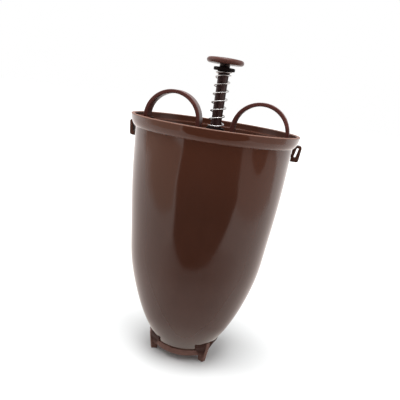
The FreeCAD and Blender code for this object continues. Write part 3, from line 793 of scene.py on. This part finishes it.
# floor, light and camera
stageLook = {
    "floorRadius": 6.0, "floorSides": 60, "floorColour": (0.86, 0.87, 0.87), "floorRoughness": 0.55,
    "patchScale": 3.0, "patchDimmer": 0.97, "mirroredColour": (0.78, 0.70, 0.66),
    "fadeSpan": (0.3, 1.1), "fadeGlow": (0.6, 0.6, 0.6),
    "nearSpan": (0.05, 0.027), "nearGlow": (0.75, 0.73, 0.67), "cardRoughness": 0.9,
}


def makeFloor():
    look = stageLook
    corners = []
    for number in range(look["floorSides"]):
        turn = math.radians(360 * number / look["floorSides"])
        corners.append((look["floorRadius"] * math.cos(turn), look["floorRadius"] * math.sin(turn), 0))
    mesh = bpy.data.meshes.new("floor")
    mesh.from_pydata(corners, [], [list(range(len(corners)))])
    floor = bpy.data.objects.new("floor", mesh)
    scene.collection.objects.link(floor)
    material, tree, shader = newMaterial("paleFloor")
    place = objectPlace(tree)
    patches = noise(tree, place, look["patchScale"], detail=3.0)
    dimmer = [look["patchDimmer"] * part for part in look["floorColour"]]
    # the plastic mirrors the floor a little dimmer and warmer than it is lit
    mirrored = tree.nodes.new("ShaderNodeLightPath").outputs["Is Glossy Ray"]
    pale = blendColour(tree, patches, look["floorColour"], dimmer)
    shown = blendColour(tree, mirrored, pale, look["mirroredColour"])
    tree.links.new(shown, shader.inputs["Base Color"])
    shader.inputs["Roughness"].default_value = look["floorRoughness"]
    # far off the floor fades into the white surround
    away = tree.nodes.new("ShaderNodeVectorMath")
    away.operation = "LENGTH"
    tree.links.new(place, away.inputs[0])
    distance = away.outputs["Value"]
    glow = blendColour(tree, remap(tree, distance, *look["fadeSpan"]), (0, 0, 0), look["fadeGlow"])
    # close under the cup the floor is bright in the cup's mirror image
    near = product(tree, remap(tree, distance, *look["nearSpan"]), mirrored)
    glow = blendColour(tree, near, glow, look["nearGlow"])
    tree.links.new(glow, shader.inputs["Emission Color"])
    shader.inputs["Emission Strength"].default_value = 1.0
    floor.data.materials.append(material)


# a card is seen only in reflections; it is clear where its fade is 1
def makeCard(name, points, faces, fades, colour):
    mesh = bpy.data.meshes.new(name)
    mesh.from_pydata(points, [], faces)
    fade = mesh.attributes.new("fade", "FLOAT", "POINT")
    for number, value in enumerate(fades):
        fade.data[number].value = value
    card = bpy.data.objects.new(name, mesh)
    scene.collection.objects.link(card)
    material, tree, shader = newMaterial(name)
    plug(tree, shader.inputs["Base Color"], colour)
    shader.inputs["Roughness"].default_value = stageLook["cardRoughness"]
    tree.links.new(calc(tree, "SUBTRACT", 1.0, surfaceMask(tree, "fade")), shader.inputs["Alpha"])
    card.data.materials.append(material)
    card.visible_camera = False
    card.visible_diffuse = False
    card.visible_shadow = False


# flags: flat cards just above the floor, whose edge fades out over a border; its width holds all round,
# or one is given for each corner
flags = {
    "rightGlow": {
        "colour": (0.62, 0.48, 0.43), "height": 0.0004, "border": 0.06,
        "corners": [
            (0.3, -0.25), (0.45, -0.35), (0.9, -1.0), (1.6, -1.4), (2.6, -0.6), (2.6, 0.6), (1.0, 0.5),
            (0.45, 0.25), (0.33, 0.0), (0.3, -0.12),
        ],
    },
    "frontFlag": {
        "colour": (0.012, 0.01, 0.009), "height": 0.0008, "border": 0.012,
        "corners": [
            (-0.07, -0.196), (-0.02, -0.18), (0.04, -0.177), (0.12, -0.176), (0.18, -0.182), (0.24, -0.2),
            (0.38, -0.26), (0.6, -0.47), (1.14, -0.94), (2.6, -2.2), (-1.4, -2.2), (-0.58, -0.97),
            (-0.27, -0.41), (-0.18, -0.297), (-0.126, -0.214),
        ],
    },
    "leftFlag": {
        "colour": (0.62, 0.46, 0.38), "height": 0.0008,
        "borders": [0.02, 0.04, 0.06, 0.12, 0.22, 0.35, 0.5, 0.3, 0.1, 0.02, 0.02],  # softer on its far side
        "corners": [
            (-0.19, -0.285), (-0.222, -0.22), (-0.25, -0.188), (-0.338, -0.126), (-0.508, -0.01), (-0.8, 0.1),
            (-1.4, 0.5), (-2.6, 0.5), (-2.2, -1.4), (-0.6, -0.97), (-0.28, -0.41),
        ],
    },
    "rightFlag": {
        "colour": (0.2, 0.1, 0.07), "height": 0.0008, "border": 0.03,
        "corners": [
            (1.282, -0.615), (1.06, -0.5), (0.8, -0.26), (0.737, -0.162), (0.753, -0.092), (0.966, 0.008),
            (1.66, 0.092), (2.8, 0.2), (2.8, -1.2),
        ],
    },
}


def makeFlag(name):
    look = flags[name]
    outer = [Vector(corner) for corner in look["corners"]]
    count = len(outer)
    borders = look.get("borders") or [look["border"]] * count
    middle = Vector((sum(x for x, y in look["corners"]), sum(y for x, y in look["corners"]))) / count
    inner = [corner - (corner - middle).normalized() * width for corner, width in zip(outer, borders)]
    faces = [list(range(count))]
    faces += [[n, count + n, count + (n + 1) % count, (n + 1) % count] for n in range(count)]
    points = [(point.x, point.y, look["height"]) for point in inner + outer]
    makeCard(name, points, faces, [0.0] * count + [1.0] * count, look["colour"])


# soft shade on the floor in front, deeper further out
frontShade = {
    "angles": (-140, -120, -108, -97, -80, -62, -45, -30, -12),
    "sides": (0.0, 0.5, 0.85, 1.0, 1.0, 1.0, 0.75, 0.45, 0.0),
    "radii": (0.05, 0.083, 0.1, 0.13, 0.16, 0.24), "depths": (0.0, 0.28, 0.31, 0.41, 0.54, 0.5),
    "height": 0.0006, "colour": (0.05, 0.06, 0.07),
}


def makeShade():
    look = frontShade
    points, fades = [], []
    for angle, side in zip(look["angles"], look["sides"]):
        turn = math.radians(angle)
        for radius, depth in zip(look["radii"], look["depths"]):
            points.append((radius * math.cos(turn), radius * math.sin(turn), look["height"]))
            fades.append(1.0 - side * depth)
    columns, rings = len(look["angles"]) - 1, len(look["radii"])
    starts = [column * rings + row for column in range(columns) for row in range(rings - 1)]
    faces = [[start, start + 1, start + rings + 1, start + rings] for start in starts]
    makeCard("frontShade", points, faces, fades, look["colour"])


# an upright card behind the camera
backFlag = {"left": -0.75, "right": 2.6, "back": -2.2, "top": 1.2, "colour": (0.2, 0.08, 0.05)}


def makeBackFlag():
    left, right, back, top = (backFlag[key] for key in ("left", "right", "back", "top"))
    corners = [(left, back, 0), (right, back, 0), (right, back, top), (left, back, top)]
    makeCard("backFlag", corners, [[0, 1, 2, 3]], [0.0] * 4, backFlag["colour"])


lights = {
    "topLight": {"place": (-0.07, -0.34, 2.2), "aim": (0, 0, 0.1), "size": (1.5, 1.5), "power": 72.0},
    "leftLight": {"place": (-1.2, -0.2, 0.7), "aim": (0, 0, 0.12), "size": (0.7, 1.2), "power": 4.0},
    "rightLight": {"place": (1.2, 0.0, 0.7), "aim": (0, 0, 0.12), "size": (0.7, 1.2), "power": 4.0},
}


def makeLight(name):
    look = lights[name]
    light = bpy.data.lights.new(name, "AREA")
    light.shape = "RECTANGLE"
    light.size, light.size_y = look["size"]
    light.energy = look["power"]
    lamp = bpy.data.objects.new(name, light)
    scene.collection.objects.link(lamp)
    lamp.location = look["place"]
    lamp.rotation_mode = "QUATERNION"
    lamp.rotation_quaternion = (Vector(look["aim"]) - Vector(look["place"])).to_track_quat("-Z", "Y")
    lamp.visible_camera = False


makeFloor()
makeFlag("rightGlow")
makeShade()
for flagName in ("frontFlag", "leftFlag", "rightFlag"):
    makeFlag(flagName)
makeBackFlag()
for lightName in lights:
    makeLight(lightName)


# the room is white wherever it is seen or mirrored, and lights the object less than it shows
roomLook = {"colour": (1.0, 1.0, 1.0), "shownStrength": 1.0, "litStrength": 0.4}


def makeWorld():
    world = bpy.data.worlds.new("paleRoom")
    scene.world = world
    world.use_nodes = True
    tree = world.node_tree
    room = tree.nodes["Background"]
    plug(tree, room.inputs["Color"], roomLook["colour"])
    lighting = tree.nodes.new("ShaderNodeLightPath").outputs["Is Diffuse Ray"]
    strength = remap(tree, lighting, 0.0, 1.0, roomLook["shownStrength"], roomLook["litStrength"])
    tree.links.new(strength, room.inputs["Strength"])


makeWorld()
scene.view_settings.view_transform = "Standard"

# angles are in degrees, the lens and its sensor in millimetres
cameraPlace = {
    "place": (0.0581, -0.3752, 0.20875), "heading": -9.295, "down": 12.347, "roll": 8.649,
    "lens": 45.0, "sensor": 36.0, "nearest": 0.01, "farthest": 50.0,
}


def makeCamera():
    camera = bpy.data.objects.new("camera", bpy.data.cameras.new("camera"))
    camera.data.lens = cameraPlace["lens"]
    camera.data.sensor_width = cameraPlace["sensor"]
    camera.data.clip_start = cameraPlace["nearest"]
    camera.data.clip_end = cameraPlace["farthest"]
    turnedDown = Matrix.Rotation(math.radians(90 - cameraPlace["down"]), 4, "X")
    headed = Matrix.Rotation(-math.radians(cameraPlace["heading"]), 4, "Z")
    rolled = Matrix.Rotation(math.radians(cameraPlace["roll"]), 4, "Z")
    camera.matrix_world = Matrix.Translation(cameraPlace["place"]) @ headed @ turnedDown @ rolled
    scene.collection.objects.link(camera)
    scene.camera = camera


makeCamera()
print("floor, lights and camera set")
